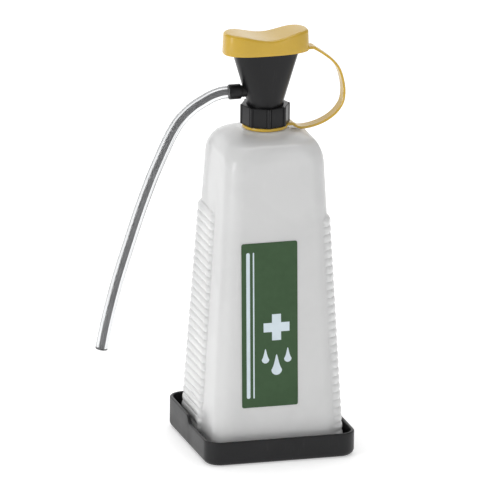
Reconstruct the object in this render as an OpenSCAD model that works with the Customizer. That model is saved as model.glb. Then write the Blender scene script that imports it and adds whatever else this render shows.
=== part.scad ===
// Emergency eyewash bottle standing in its tray: a ribbed squeeze bottle, a screw
// collar that clamps an eyecup with a spray nozzle and a drain hose, and a dust cap
// on a tether strap. The origin is the centre of the tray's underside. The label
// faces -Y and the drain outlet points to -X.

/* [Tray] */
// Gap between the bottle's foot and the tray's side walls
tray_gap = 5; // [3:0.1:18]
// Thickness of the tray's side walls
tray_wall = 2.2; // [1.6:0.1:3]
// Thickness of the tray's floor
tray_floor = 2.4; // [1.6:0.1:4]
// Height of the front half of the rim
tray_front_h = 16; // [12:0.5:20]
// Height of the rear half of the rim
tray_rear_h = 20.5; // [14:0.5:30]
// Radius of the tray's upright corners
tray_corner_r = 11; // [9:0.5:16]
// Radius of the tray's bottom edge
tray_fillet = 4; // [2:0.5:6]

/* [Bottle] */
// Width of the bottle just above its foot
bottle_w = 85.6; // [70:0.2:110]
// Height of the bottle body, from foot to the root of the neck
bottle_h = 207.4; // [172:0.2:260]
// Half-width that the walls lose for each millimetre of height
bottle_taper = 0.0535; // [0.03:0.0005:0.06]
// Radius of the bottle's upright corners
bottle_corner_r = 12; // [9:0.5:15]
// Thickness of the bottle's wall
bottle_wall = 1.3; // [1:0.1:2]
// Centre distance of the grip ribs
rib_pitch = 5.2; // [4.5:0.1:7]
// Height of the grip ribs over the side walls
rib_height = 2.2; // [1:0.1:2.6]
// Number of grip ribs on each side
rib_count = 28; // [10:1:28]

/* [Neck] */
// Radius of the bottle's neck under its thread
neck_r = 12.1; // [10:0.1:14.6]
// Thickness of the neck's wall
neck_wall = 1.8; // [1.2:0.1:2.4]
// Height of the neck over the bottle body
neck_h = 11.2; // [10:0.1:14]
// Rise of the thread in one turn
thread_pitch = 4; // [3:0.1:4.5]
// Height of the thread over the neck
thread_depth = 1.1; // [0.8:0.1:1.4]

/* [Collar] */
// Height of the screw collar
collar_h = 12.8; // [12:0.1:18]
// Thickness of the octagonal collar's wall at its flats
collar_wall = 1.1; // [0.9:0.1:3]
// Angle at which the tightened collar stands
collar_turn = -6; // [-22:1:22]

/* [Eyecup] */
// Width of the ledge by which the collar clamps the eyecup
flange_ledge = 1.4; // [1:0.1:2]
// Height of the eyecup over the collar
cup_h = 46.8; // [36:0.2:56]
// Half-length of the eyecup's oval rim
cup_half_l = 25.9; // [20:0.1:30]
// Half-width of the eyecup's oval rim
cup_half_w = 11.2; // [9:0.1:14]
// Thickness of the eyecup's wall
cup_wall = 1.6; // [1.2:0.1:2]
// Height of the drain outlet's axis over the collar
outlet_rise = 9.1; // [7:0.1:12]
// Length by which the outlet spigot stands out from the stem's side
outlet_len = 5.1; // [4:0.1:9]
// Thickness of the outlet spigot's wall
spigot_wall = 1.3; // [1:0.1:2]
// Radius of the spray nozzle's head
nozzle_r = 6.2; // [4.5:0.1:7]

/* [Drain hose] */
// Outer radius of the drain hose
hose_r = 4; // [3.4:0.1:4.6]
// Thickness of the drain hose's wall
hose_wall = 1.5; // [1:0.1:1.8]
// Thickness of the sleeve around the hose's end
sleeve_wall = 0.9; // [0.6:0.1:1.5]
// Length of the sleeve
sleeve_len = 7.6; // [5:0.1:12]

/* [Cap and tether] */
// Thickness of the dust cap's skirt
cap_wall = 1.4; // [1:0.1:2]
// Height of the cap's skirt at its two ends
cap_h = 13.7; // [11:0.1:18]
// Depth of the saddle in the cap's top
cap_dip = 3.9; // [1:0.1:5]
// Width of the tether strap
strap_w = 8; // [5:0.5:10]
// Thickness of the tether strap
strap_t = 1.5; // [1:0.1:2]
// Width of the tether ring round the neck
ring_wall = 1.2; // [1:0.1:3]

/* [Label] */
// Width of the label
label_w = 37; // [20:0.5:38]
// Height of the label
label_h = 108; // [60:1:120]
// Height of the label's lower edge over the ground
label_z = 35.5; // [25:0.5:60]
// Distance of the label's middle from the middle of the front face
label_x = -6.5; // [-7:0.5:7]

/* [Hidden] */
// Gap between pieces that only rest on each other
rest_gap = 0.1;
// Gap between pieces that turn or slide past each other
run_gap = 0.3;
// Gap between the neck and the crest of the collar's thread
thread_gap = 0.35;
// Gap between the eyecup's stem and the hole in the collar's lid
stem_gap = 0.4;
// Gap between the gasket's edge and the collar's bore
gasket_gap = 0.5;
// Gap between the eyecup's flange and the collar's bore
flange_gap = 0.6;
// Amount by which a cut runs past the face that it opens
cut = 1;
// Smoothness of round pieces
$fn = 64;

// Tray
tray_w = bottle_w + 2 * (tray_gap + tray_wall);
tray_half = tray_w / 2;
step_y = 0.5;
step_len = 6.5;
step_points = 8;

// Bottle
foot_z = tray_floor + rest_gap;
foot_rise = 4.2;
foot_push_up = 1.5;
// Distance inside the side walls, height and lost corner radius of the foot's rings
FOOT = [[14, foot_push_up, 4], [8, 0, 2], [3.4, 0, 1], [1, 1.2, 0]];
FOOT_INSIDE = [[12, foot_push_up + bottle_wall, 4], [3, foot_push_up + bottle_wall, 1]];
// Overlap of pieces that grow into each other
sink = 1;
body_top_z = foot_z + bottle_h;
straight_top_z = body_top_z - 18;
rib_first_z = foot_z + 9.5;
// The valleys between the ribs stand this far over the plain side wall
rib_valley = rib_height - 0.95;
// The ribs end on the side wall, at this distance past its middle
rib_end_y = 8;
// The ribs wrap round one corner of the side wall, to this angle from its face
rib_wrap = 50;
corner_steps = 5;
label_t = 0.25;
label_lean = atan(bottle_taper);

// Neck and thread
neck_top_z = body_top_z + neck_h;
neck_bore_r = neck_r - neck_wall;
ring_t = 1.9;
ring_rest = 0.4;
ring_z = body_top_z + ring_rest;
thread_r = neck_r + thread_depth;
ring_inner_r = thread_r + run_gap;
ring_r = ring_inner_r + ring_wall;
collar_z = ring_z + ring_t + run_gap;
collar_top_z = collar_z + collar_h;
thread_root = 0.55 * thread_pitch;
thread_crest = 0.25 * thread_pitch;
thread_steps = 30;
thread_sink = 0.3;
thread_z = collar_z + thread_root;
// The thread stops this far under the neck's rim
thread_stop = 0.3;
thread_turns = (neck_top_z - thread_stop - thread_root / 2 - thread_z) / thread_pitch;
collar_bore_r = thread_r + run_gap;
flange_r = collar_bore_r - flange_gap;
stem_r = flange_r - flange_ledge;
collar_thread_r = neck_r + thread_gap;
collar_corner_r = (collar_bore_r + collar_wall) / cos(22.5);
collar_lid = 1.5;
collar_hole_r = stem_r + stem_gap;
ridge_r = 1.2;
ridge_sink = 0.9;
gasket_t = 1.2;
gasket_z = neck_top_z + rest_gap;
gasket_r = collar_bore_r - gasket_gap;
gasket_bore_r = neck_bore_r + 0.2;

// Eyecup
flange_z = gasket_z + gasket_t + rest_gap;
flange_top_z = collar_top_z - collar_lid - rest_gap;
// The funnel grows from this far inside the stem
stem_step = 0.3;
cup_rim_z = collar_top_z + cup_h;
lip_h = 9;
lip_low_z = cup_rim_z - lip_h;
// The funnel widens to this much less than the rim, this far under the lip
lip_flare = [4.4, 0.3, 3.5];
lip_start_l = cup_half_l - lip_flare[0];
lip_start_w = cup_half_w - lip_flare[1];
lip_start_z = lip_low_z - lip_flare[2];
cup_steps = 44;
// Power of the oval outlines of the eyecup and the cap: 1 is an ellipse, less is squarer
oval_power = 0.74;
cup_floor_z = collar_top_z + 2.4;
outlet_z = collar_top_z + outlet_rise;
sleeve_r = hose_r + sleeve_wall;
barb_r = hose_r - hose_wall - rest_gap;
barb_bore_r = barb_r - 0.9;
barb_seat = 4;
outlet_bore_r = barb_r + rest_gap;
outlet_r = outlet_bore_r + spigot_wall;
outlet_reach = stem_r + outlet_len;
nozzle_stem_r = 4.2;
fit_gap = 0.05;
nozzle_head_h = 3;
nozzle_head_z = outlet_z + outlet_r + 2.4;
nozzle_bore_r = 1.8;
nozzle_skin = 1;
nozzle_floor = 0.8;
jet_r = 0.45;
// Rows of jets over the nozzle's head, as [share of the way out, number of jets]
JET_ROWS = [[0, 1], [0.5, 6], [1, 12]];
jet_edge = 1.8;
tube_r = 3;
tube_bore_r = 2;
tube_socket = 5;
tube_sink = 2;
tube_low_z = foot_z + 9;

// Drain hose
hose_sides = 10;
hose_exit = [-outlet_reach - sleeve_len, 0, outlet_z];
// Route of the drain hose, from the sleeve to its free cut end, drawn at the sizes above
HOSE_ROUTE = [
    [0, 0], [-5, -0.3], [-11, -2], [-17, -5], [-23, -8.5], [-28.5, -13], [-33.5, -18.5],
    [-37.5, -25], [-41, -32], [-45.5, -42], [-50, -52.5], [-54, -63], [-58, -74],
    [-61.5, -84.5], [-65, -95.5], [-68.5, -106.5], [-72, -118], [-75, -129], [-78, -141],
    [-80.5, -152], [-83, -165.5]];

// Dust cap and tether
cap_half_l = cup_half_l + run_gap + cap_wall;
cap_half_w = cup_half_w + run_gap + cap_wall;
cap_top_z = cup_rim_z + run_gap + cap_wall;
cap_low_z = cap_top_z - cap_h;
// The saddle's dip ends at this share of the way to the cap's ends
saddle_share = 0.86;
saddle_steps = 16;
cap_draft = 0.5;
lug_len = 3;
strap_root_x = ring_r + lug_len;
strap_root_z = ring_z + ring_t / 2;
strap_end_x = cap_half_l + cap_draft + lug_len;
strap_end_z = cap_low_z + ring_t / 2;
// Rings of the strap for each stretch of its route
strap_rings = 2;
// Route of the strap from the ring to the cap, as [bow outwards, share of the way up]
STRAP_ROUTE = [[0, 0], [3.3, -0.04], [7.1, -0.06], [13.6, -0.045], [20.1, 0], [25.2, 0.07],
    [28.2, 0.15], [29.7, 0.25], [28.8, 0.38], [25.9, 0.53], [21.2, 0.69], [15.2, 0.81],
    [8.2, 0.905], [4, 0.955], [0, 1]];

// ---- Shared shapes ----

function mix(a, b, t) = a + (b - a) * t;
function smooth(t) = t * t * (3 - 2 * t);
function unit(v) = v / norm(v);
function mean(ring) = [for (p = ring) 1] * ring / len(ring);

// Skins a stack of closed point rings, each turning anticlockwise seen from the last,
// and closes both ends with a fan of triangles about the ring's middle
module skin(rings) {
    n = len(rings[0]);
    m = len(rings);
    last = (m - 1) * n;
    points = [for (ring = rings) for (p = ring) p];
    middles = [for (ring = [rings[0], rings[m - 1]]) mean(ring)];
    walls = [for (j = [0:m - 2]) for (i = [0:n - 1])
        let (a = j * n + i, b = j * n + (i + 1) % n)
        each [[a, a + n, b], [b, a + n, b + n]]];
    ends = [for (i = [0:n - 1]) let (k = (i + 1) % n)
        each [[m * n, i, k], [m * n + 1, last + k, last + i]]];
    polyhedron(concat(points, middles), concat(walls, ends));
}

// A box with round upright corners and a round bottom edge, standing on z = 0
module tub(half, r, fillet, h) {
    module edge_profile(w) {
        translate([-w, fillet]) square([2 * w, h - fillet]);
        translate([fillet - w, 0]) square([2 * (w - fillet), h]);
        for (s = [-1, 1]) translate([s * (w - fillet), fillet]) circle(fillet);
    }
    for (turn = [0, 90]) rotate([90, 0, turn])
        linear_extrude(2 * (half - r), center = true) edge_profile(half);
    for (x = [-1, 1], y = [-1, 1]) translate([x * (half - r), y * (half - r), 0])
        rotate_extrude() intersection() {
            edge_profile(r);
            square([r, h]);
        }
}

// ---- Tray ----

// Side view of what is cut from the front of the rim, with a smooth step up to the rear
module rim_step() {
    rise = tray_rear_h - tray_front_h;
    curve = [for (i = [0:step_points]) let (t = i / step_points)
        [step_y - step_len * (1 - t), tray_front_h + rise * smooth(t)]];
    polygon(concat([[-tray_half - cut, tray_rear_h + cut], [-tray_half - cut, tray_front_h]],
        curve, [[step_y, tray_rear_h + cut]]));
}

module base_tray() {
    color([0.16, 0.16, 0.17]) difference() {
        tub(tray_half, tray_corner_r, tray_fillet, tray_rear_h);
        translate([0, 0, tray_floor])
            tub(tray_half - tray_wall, tray_corner_r - tray_wall,
                max(tray_fillet - tray_wall, 0.5), tray_rear_h);
        rotate([90, 0, 90])
            linear_extrude(tray_w + 2 * cut, center = true) rim_step();
    }
}

// ---- Bottle ----

function body_half(z) = bottle_w / 2 - bottle_taper * (z - foot_z - foot_rise);

// Outline of the bottle at height z: half-width w, corner radius r, rib height b. The ribs
// of one side lie opposite the ribs of the other, so half an outline is turned for the rest
function half_ring(z, w, r, b) =
    let (flat = w - r, reach = min(rib_end_y, 0.7 * flat))
    concat(
        [for (i = [0:corner_steps])
            let (a = -90 + 90 * i / corner_steps, q = a > -rib_wrap ? r + b : r)
            [flat + q * cos(a), q * sin(a) - flat, z]],
        [[w + b, 0.6 * reach, z], [w, reach, z]],
        [for (i = [0:corner_steps]) let (a = 90 * i / corner_steps)
            [flat + r * cos(a), flat + r * sin(a), z]]);

function body_ring(z, w, r, b = 0) =
    let (half = half_ring(z, w, r, b))
    concat(half, [for (p = half) [-p[0], -p[1], p[2]]]);

// Rings of the shoulder, as [share of the way up, share of the top half-width, radius gain]
SHOULDER = [[0, 1, 0], [0.22, 0.99, 2], [0.39, 0.965, 3.5], [0.56, 0.92, 4.5],
    [0.7, 0.85, 4.5], [0.79, 0.745, 4], [0.855, 0.615, 2.5], [0.91, 0.5, 1.5], [1, 0.43, 1.2]];

function shoulder_rings(inset) = [for (s = SHOULDER)
    let (w = body_half(straight_top_z) * s[1] - inset,
        r = min(bottle_corner_r + s[2] - inset, w - 0.4))
    body_ring(mix(straight_top_z, body_top_z, s[0]) - inset, w, r)];

function rib_rings() = [for (i = [0:rib_count - 1])
    let (z = rib_first_z + i * rib_pitch)
    each concat(
        i == 0 ? [body_ring(z - rib_pitch / 2, body_half(z - rib_pitch / 2),
            bottle_corner_r, 0)] : [],
        [body_ring(z, body_half(z), bottle_corner_r, rib_height)],
        [body_ring(z + rib_pitch / 2, body_half(z + rib_pitch / 2),
            bottle_corner_r, i == rib_count - 1 ? 0 : rib_valley)])];

module bottle_outside() {
    w = bottle_w / 2;
    r = bottle_corner_r;
    skin(concat(
        [for (f = FOOT) body_ring(foot_z + f[1], w - f[0], r - f[2])],
        [body_ring(foot_z + foot_rise, w, r)],
        rib_rings(),
        shoulder_rings(0)));
}

module bottle_inside() {
    w = bottle_w / 2 - bottle_wall;
    r = bottle_corner_r - bottle_wall;
    skin(concat(
        [for (f = FOOT_INSIDE) body_ring(foot_z + f[1], w - f[0], r - f[2])],
        [body_ring(foot_z + foot_rise, w, r)],
        shoulder_rings(bottle_wall)));
}

// A helical ridge that grips or fills a cylinder of radius r; its crest is at radius tip
module thread(r, tip, z0, turns) {
    inward = tip < r;
    root = inward ? r + thread_sink : r - thread_sink;
    count = round(thread_steps * turns);
    section = [[root, -thread_root / 2], [tip, -thread_crest / 2],
        [tip, thread_crest / 2], [root, thread_root / 2]];
    profile = inward ? section : [for (i = [3:-1:0]) section[i]];
    skin([for (i = [0:count])
        let (a = 360 * i / thread_steps, z = z0 + thread_pitch * i / thread_steps)
        [for (p = profile) [p[0] * cos(a), p[0] * sin(a), z + p[1]]]]);
}

module bottle() {
    color([0.9, 0.91, 0.9]) {
        difference() {
            union() {
                bottle_outside();
                translate([0, 0, body_top_z - sink]) cylinder(neck_h + sink, r = neck_r);
            }
            bottle_inside();
            translate([0, 0, body_top_z - 2 * bottle_wall])
                cylinder(neck_h + 2 * bottle_wall + cut, r = neck_bore_r);
        }
        thread(neck_r, thread_r, thread_z, thread_turns);
    }
}

module label() {
    color([0.24, 0.38, 0.22])
        translate([label_x, -body_half(label_z), label_z])
            rotate([-label_lean, 0, 0]) translate([-label_w / 2, -label_t, 0])
                cube([label_w, label_t, label_h]);
}

// ---- Collar, gasket and tether ring ----

module neck_gasket() {
    color([0.85, 0.85, 0.82]) translate([0, 0, gasket_z]) difference() {
        cylinder(gasket_t, r = gasket_r);
        translate([0, 0, -cut]) cylinder(gasket_t + 2 * cut, r = gasket_bore_r);
    }
}

module collar_outline() {
    circle(collar_corner_r, $fn = 8);
    for (k = [0:7]) rotate(45 * k)
        translate([collar_corner_r - ridge_sink, 0]) circle(ridge_r, $fn = 24);
}

module screw_collar() {
    color([0.12, 0.12, 0.13]) rotate(collar_turn) {
        translate([0, 0, collar_z]) difference() {
            linear_extrude(collar_h) collar_outline();
            translate([0, 0, -cut]) cylinder(collar_h - collar_lid + cut, r = collar_bore_r);
            cylinder(collar_h + cut, r = collar_hole_r);
        }
        rotate(-collar_turn + 180)
            thread(collar_bore_r, collar_thread_r, thread_z, thread_turns);
    }
}

// Flat lug from x0 to x1 that the tether strap grows from
module lug(x0, x1) {
    translate([x0, -strap_w / 2, 0]) cube([x1 - x0, strap_w, ring_t]);
}

module tether_ring() {
    color([0.85, 0.66, 0.13]) translate([0, 0, ring_z]) difference() {
        union() {
            cylinder(ring_t, r = ring_r);
            lug(0, strap_root_x);
        }
        translate([0, 0, -cut]) cylinder(ring_t + 2 * cut, r = ring_inner_r);
    }
}

// ---- Eyecup and what it carries ----

// Oval outline with half-length l and half-width w at height z
function oval(l, w, z, p = oval_power) = [for (i = [0:cup_steps - 1])
    let (a = 360 * i / cup_steps)
    [l * sign(cos(a)) * pow(abs(cos(a)), p), w * sign(sin(a)) * pow(abs(sin(a)), p), z]];

// Height of the cap's top at distance x from its middle: a smooth dip between level ends
function saddle_z(x) = let (share = min(1, abs(x) / (saddle_share * cap_half_l)))
    cap_top_z - cap_dip * (1 + cos(180 * share)) / 2;

// Outside of the eyecup's funnel, or its inside when inset is the wall thickness
function funnel_rings(low_z, inset, top_z) = [
    oval(stem_r - stem_step - inset, stem_r - stem_step - inset, low_z, 1),
    oval(mix(stem_r, lip_start_l, 0.5) - inset, mix(stem_r, lip_start_w, 0.5) - inset,
        mix(collar_top_z, lip_start_z, 0.5), mix(1, oval_power, 0.5)),
    oval(lip_start_l - inset, lip_start_w - inset, lip_start_z),
    oval(cup_half_l - inset, cup_half_w - inset, lip_low_z + inset),
    oval(cup_half_l - inset, cup_half_w - inset, top_z)];

// All that lies over the cap's saddle, or over its underside a wall lower
module over_saddle(down) {
    reach = cap_half_l + cut;
    rotate([90, 0, 0]) linear_extrude(2 * (cap_half_w + cut), center = true)
        polygon(concat([for (i = [-saddle_steps:saddle_steps]) let (x = reach * i / saddle_steps)
            [x, saddle_z(x) - down]],
            [[reach, cap_top_z + 2 * cut], [-reach, cap_top_z + 2 * cut]]));
}

module eyecup() {
    color([0.13, 0.13, 0.14]) difference() {
        union() {
            translate([0, 0, flange_z]) cylinder(flange_top_z - flange_z, r = flange_r);
            translate([0, 0, flange_z]) cylinder(collar_top_z - flange_z + sink, r = stem_r);
            skin(funnel_rings(collar_top_z - stem_step, 0, cup_rim_z + cut));
            translate([0, 0, outlet_z]) rotate([0, -90, 0]) cylinder(outlet_reach, r = outlet_r);
        }
        skin(funnel_rings(cup_floor_z, cup_wall, cup_rim_z + 2 * cut));
        // The rim follows the saddle of the cap, a gap below its underside
        over_saddle(cap_wall + run_gap);
        translate([0, 0, flange_z - cut])
            cylinder(cup_floor_z - flange_z + 2 * cut, r = nozzle_stem_r + fit_gap);
        translate([0, 0, outlet_z]) rotate([0, -90, 0])
            translate([0, 0, nozzle_stem_r]) cylinder(outlet_reach, r = outlet_bore_r);
    }
}

module spray_nozzle() {
    stem_z = flange_z - tube_sink;
    color([0.75, 0.76, 0.76]) difference() {
        union() {
            translate([0, 0, stem_z])
                cylinder(nozzle_head_z - stem_z + sink, r = nozzle_stem_r);
            translate([0, 0, nozzle_head_z]) cylinder(nozzle_head_h, r = nozzle_r);
        }
        translate([0, 0, stem_z - cut]) cylinder(tube_socket + cut, r = tube_r + fit_gap);
        translate([0, 0, stem_z]) cylinder(nozzle_head_z - stem_z + sink, r = nozzle_bore_r);
        translate([0, 0, nozzle_head_z + nozzle_floor])
            cylinder(nozzle_head_h - nozzle_floor - nozzle_skin, r = nozzle_r - nozzle_skin);
        for (row = JET_ROWS) for (k = [0:row[1] - 1]) rotate(360 * k / row[1])
            translate([row[0] * (nozzle_r - jet_edge), 0, nozzle_head_z + nozzle_skin])
                cylinder(nozzle_head_h, r = jet_r, $fn = 16);
    }
}

module dip_tube() {
    tube_top_z = flange_z - tube_sink + tube_socket;
    color([0.8, 0.82, 0.82]) translate([0, 0, tube_low_z]) difference() {
        cylinder(tube_top_z - tube_low_z, r = tube_r);
        translate([0, 0, -cut])
            cylinder(tube_top_z - tube_low_z + 2 * cut, r = tube_bore_r);
    }
}

// Places its children along the outlet's axis, x millimetres out from the spigot's end
module at_outlet(x) {
    translate([-outlet_reach - x, 0, outlet_z]) rotate([0, -90, 0]) children();
}

module hose_barb() {
    color([0.3, 0.3, 0.31]) at_outlet(-barb_seat) difference() {
        cylinder(barb_seat + sleeve_len - rest_gap, r = barb_r);
        translate([0, 0, -cut]) cylinder(barb_seat + sleeve_len + 2 * cut, r = barb_bore_r);
    }
}

module hose_sleeve() {
    color([0.1, 0.1, 0.11]) at_outlet(0) difference() {
        cylinder(sleeve_len, r = sleeve_r);
        translate([0, 0, -cut]) cylinder(sleeve_len + 2 * cut, r = outlet_bore_r);
    }
}

// Point i of the hose's route in space, and the hose's direction there
function route_point(i) = let (p = HOSE_ROUTE[i]) [hose_exit[0] + p[0], 0, hose_exit[2] + p[1]];
function route_dir(i) = i == 0 ? [-1, 0, 0]
    : unit(route_point(min(i + 1, len(HOSE_ROUTE) - 1)) - route_point(i - 1));

module drain_hose() {
    color([0.7, 0.72, 0.73]) skin([for (i = [0:len(HOSE_ROUTE) - 1])
        let (p = route_point(i), d = route_dir(i), side = [0, 1, 0], up = cross(d, side))
        [for (k = [0:hose_sides - 1]) let (a = 360 * k / hose_sides)
            p + hose_r * (cos(a) * side + sin(a) * up)]]);
}

// ---- Dust cap and its strap ----

// Rings of the cap's outside; the saddle is cut from its top
module cap_block(inset, low_z, top_z) {
    skin([oval(cap_half_l + cap_draft - inset, cap_half_w + cap_draft - inset, low_z),
        oval(cap_half_l - inset, cap_half_w - inset, top_z)]);
}

module dust_cap() {
    color([0.85, 0.66, 0.13]) difference() {
        union() {
            cap_block(0, cap_low_z, cap_top_z);
            translate([0, 0, cap_low_z]) lug(cap_half_l - lug_len, strap_end_x);
        }
        difference() {
            cap_block(cap_wall, cap_low_z - cut, cap_top_z + cut);
            over_saddle(cap_wall);
        }
        over_saddle(0);
    }
}

// The strap bows out from the tether ring and back to the cap's rim, on a smooth curve
// through the knots of its route; u counts the knots
function strap_knot(i) = let (k = STRAP_ROUTE[max(0, min(i, len(STRAP_ROUTE) - 1))])
    [mix(strap_root_x, strap_end_x, k[1]) + k[0], mix(strap_root_z, strap_end_z, k[1])];
function strap_curve(u) = let (i = floor(u), t = u - i, a = strap_knot(i - 1),
        b = strap_knot(i), c = strap_knot(i + 1), d = strap_knot(i + 2))
    0.5 * (2 * b + (c - a) * t + (2 * a - 5 * b + 4 * c - d) * t * t
    + (3 * b - a - 3 * c + d) * t * t * t);

module tether_strap() {
    count = strap_rings * (len(STRAP_ROUTE) - 1);
    color([0.85, 0.66, 0.13]) skin([for (i = [0:count])
        let (u = i / strap_rings, p = strap_curve(u),
            d = i == 0 ? [1, 0] : i == count ? [-1, 0]
                : unit(strap_curve(u + 0.05) - strap_curve(u - 0.05)),
            n = [d[1], -d[0]] * strap_t / 2, w = strap_w / 2)
        [[p[0] + n[0], -w, p[1] + n[1]], [p[0] + n[0], w, p[1] + n[1]],
            [p[0] - n[0], w, p[1] - n[1]], [p[0] - n[0], -w, p[1] - n[1]]]]);
}

base_tray();
bottle();
label();
neck_gasket();
screw_collar();
eyecup();
spray_nozzle();
dip_tube();
hose_barb();
hose_sleeve();
drain_hose();
tether_ring();
tether_strap();
dust_cap();
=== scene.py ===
"""Looks of an emergency eyewash bottle: a ribbed squeeze bottle in a tray, with an
eyecup, a drain hose and a tethered dust cap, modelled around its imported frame."""

import math

import bmesh
import bpy
from mathutils import Matrix, Vector


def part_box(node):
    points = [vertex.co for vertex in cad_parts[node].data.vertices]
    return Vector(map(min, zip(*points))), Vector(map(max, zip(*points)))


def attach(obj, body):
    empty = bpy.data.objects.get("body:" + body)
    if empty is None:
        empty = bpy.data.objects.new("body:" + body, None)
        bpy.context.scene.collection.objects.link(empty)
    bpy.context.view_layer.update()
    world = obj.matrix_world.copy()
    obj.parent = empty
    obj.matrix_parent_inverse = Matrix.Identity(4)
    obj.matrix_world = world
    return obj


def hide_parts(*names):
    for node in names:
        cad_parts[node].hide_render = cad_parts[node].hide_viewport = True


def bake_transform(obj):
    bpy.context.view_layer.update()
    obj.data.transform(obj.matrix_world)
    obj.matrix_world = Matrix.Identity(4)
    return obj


bl_info = {
    "name": "Eyewash Bottle",
    "version": (1, 0, 0),
    "blender": (4, 5, 0),
    "location": "View3D > Sidebar > Eyewash",
    "description": "Models an emergency eyewash bottle with its tray, hose and dust cap",
    "category": "Add Mesh",
}

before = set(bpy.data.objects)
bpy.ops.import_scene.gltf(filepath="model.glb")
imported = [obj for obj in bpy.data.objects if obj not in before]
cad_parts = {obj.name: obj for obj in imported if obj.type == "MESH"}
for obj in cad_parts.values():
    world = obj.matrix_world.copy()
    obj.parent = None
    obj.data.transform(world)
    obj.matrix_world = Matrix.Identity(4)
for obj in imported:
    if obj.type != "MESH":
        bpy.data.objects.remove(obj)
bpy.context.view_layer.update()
MM = 0.001

# Drain hose: where it leaves its sleeve, and its route from there, in metres
HOSE_EXIT = (-0.0242, 0, 0.2344)
HOSE_ROUTE = [
    (0, 0), (-0.005, -0.0003), (-0.011, -0.002), (-0.017, -0.005), (-0.023, -0.0085),
    (-0.0285, -0.013), (-0.0335, -0.0185), (-0.0375, -0.025), (-0.041, -0.032),
    (-0.0455, -0.042), (-0.05, -0.0525), (-0.054, -0.063), (-0.058, -0.074),
    (-0.0615, -0.0845), (-0.065, -0.0955), (-0.0685, -0.1065), (-0.072, -0.118),
    (-0.075, -0.129), (-0.078, -0.141), (-0.0805, -0.152), (-0.083, -0.1655),
]

# Bottle: half its width at the top of its foot, the foot's rise, and the taper of its walls
BOTTLE_HALF = 42.8 * MM
FOOT_RISE = 4.2 * MM
TAPER = 0.0535
# Height over the foot, inset and loss of corner radius, in millimetres
FOOT_UNDERSIDE = [
    (1.5, 12, 3), (1.1, 10.2, 3), (0.3, 8.6, 2), (0, 7.4, 2), (0, 3.8, 1), (0.25, 2.4, 1),
    (0.9, 1.2, 0.4), (2.2, 0.35, 0.1), (4.2, 0, 0),
]
FOOT_INSIDE = [(5, 1.3, 1.3), (3.4, 2, 2), (2.8, 3.4, 3), (2.8, 8, 4), (2.8, 14, 4)]
# Share of the shoulder's height, share of its half-width, gain of corner radius in millimetres
SHOULDER = [
    (0, 1, 0), (0.22, 0.99, 2), (0.39, 0.965, 3.5), (0.56, 0.92, 4.5), (0.7, 0.85, 4.5),
    (0.79, 0.745, 4), (0.855, 0.615, 2.5), (0.91, 0.5, 1.5), (1, 0.43, 1.2),
]

# Label: thickness of its film and of its print, in millimetres
FILM = 0.25
INK = 0.04

# Neck and collar: the neck's height, the radii of its wall and thread, and of the collar's bore
NECK_HEIGHT = 11.2 * MM
NECK_R = 12.1 * MM
THREAD_R = 13.2 * MM
THREAD_TURNS = 1.25
THREAD_PITCH = 4 * MM
COLLAR_BORE_R = 13.5 * MM

# Eyecup and dust cap: half-lengths and half-widths of their ovals
CUP_FLARE = (21.5 * MM, 10.9 * MM)
CUP_RIM = (25.9 * MM, 11.2 * MM)
CUP_WALL = 1.6 * MM
CAP_TOP = (27.6 * MM, 12.9 * MM)
CAP_WALL = 1.4 * MM
# The eyecup's rim lies this far under the cap's top, which dips this far in its middle
RIM_DOWN = 1.7 * MM
CAP_DIP = 3.9 * MM
# The dip ends at this share of the cap's half-length
DIP_SHARE = 0.86

STRAP_HALF = 4 * MM
# Strap: how far it bows outwards, in metres, and its share of the way from ring to cap
STRAP_ROUTE = [
    (0, 0), (0.0033, -0.04), (0.0071, -0.06), (0.0136, -0.045), (0.0201, 0), (0.0252, 0.07),
    (0.0282, 0.15), (0.0297, 0.25), (0.0288, 0.38), (0.0259, 0.53), (0.0212, 0.69),
    (0.0152, 0.81), (0.0082, 0.905), (0.004, 0.955), (0, 1),
]


# ---- Settings ----


class EyewashColours(bpy.types.PropertyGroup):
    bottle: bpy.props.FloatVectorProperty(
        name="Bottle", description="Colour of the milky squeeze bottle",
        subtype="COLOR", min=0, max=1, default=(0.82, 0.823, 0.82))
    yellow: bpy.props.FloatVectorProperty(
        name="Cap and tether", description="Colour of the dust cap, its strap and its ring",
        subtype="COLOR", min=0, max=1, default=(0.63, 0.4, 0.03))
    black: bpy.props.FloatVectorProperty(
        name="Head", description="Colour of the eyecup, the collar and the sleeve",
        subtype="COLOR", min=0, max=1, default=(0.006, 0.006, 0.007))
    tray: bpy.props.FloatVectorProperty(
        name="Tray", description="Colour of the tray",
        subtype="COLOR", min=0, max=1, default=(0.007, 0.007, 0.008))
    label: bpy.props.FloatVectorProperty(
        name="Label", description="Ground colour of the label",
        subtype="COLOR", min=0, max=1, default=(0.032, 0.08, 0.028))
    ink: bpy.props.FloatVectorProperty(
        name="Print", description="Colour of the shapes printed on the label",
        subtype="COLOR", min=0, max=1, default=(0.68, 0.78, 0.84))
    hose: bpy.props.FloatVectorProperty(
        name="Hose", description="Tint of the clear drain hose",
        subtype="COLOR", min=0, max=1, default=(0.8, 0.81, 0.82))


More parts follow.
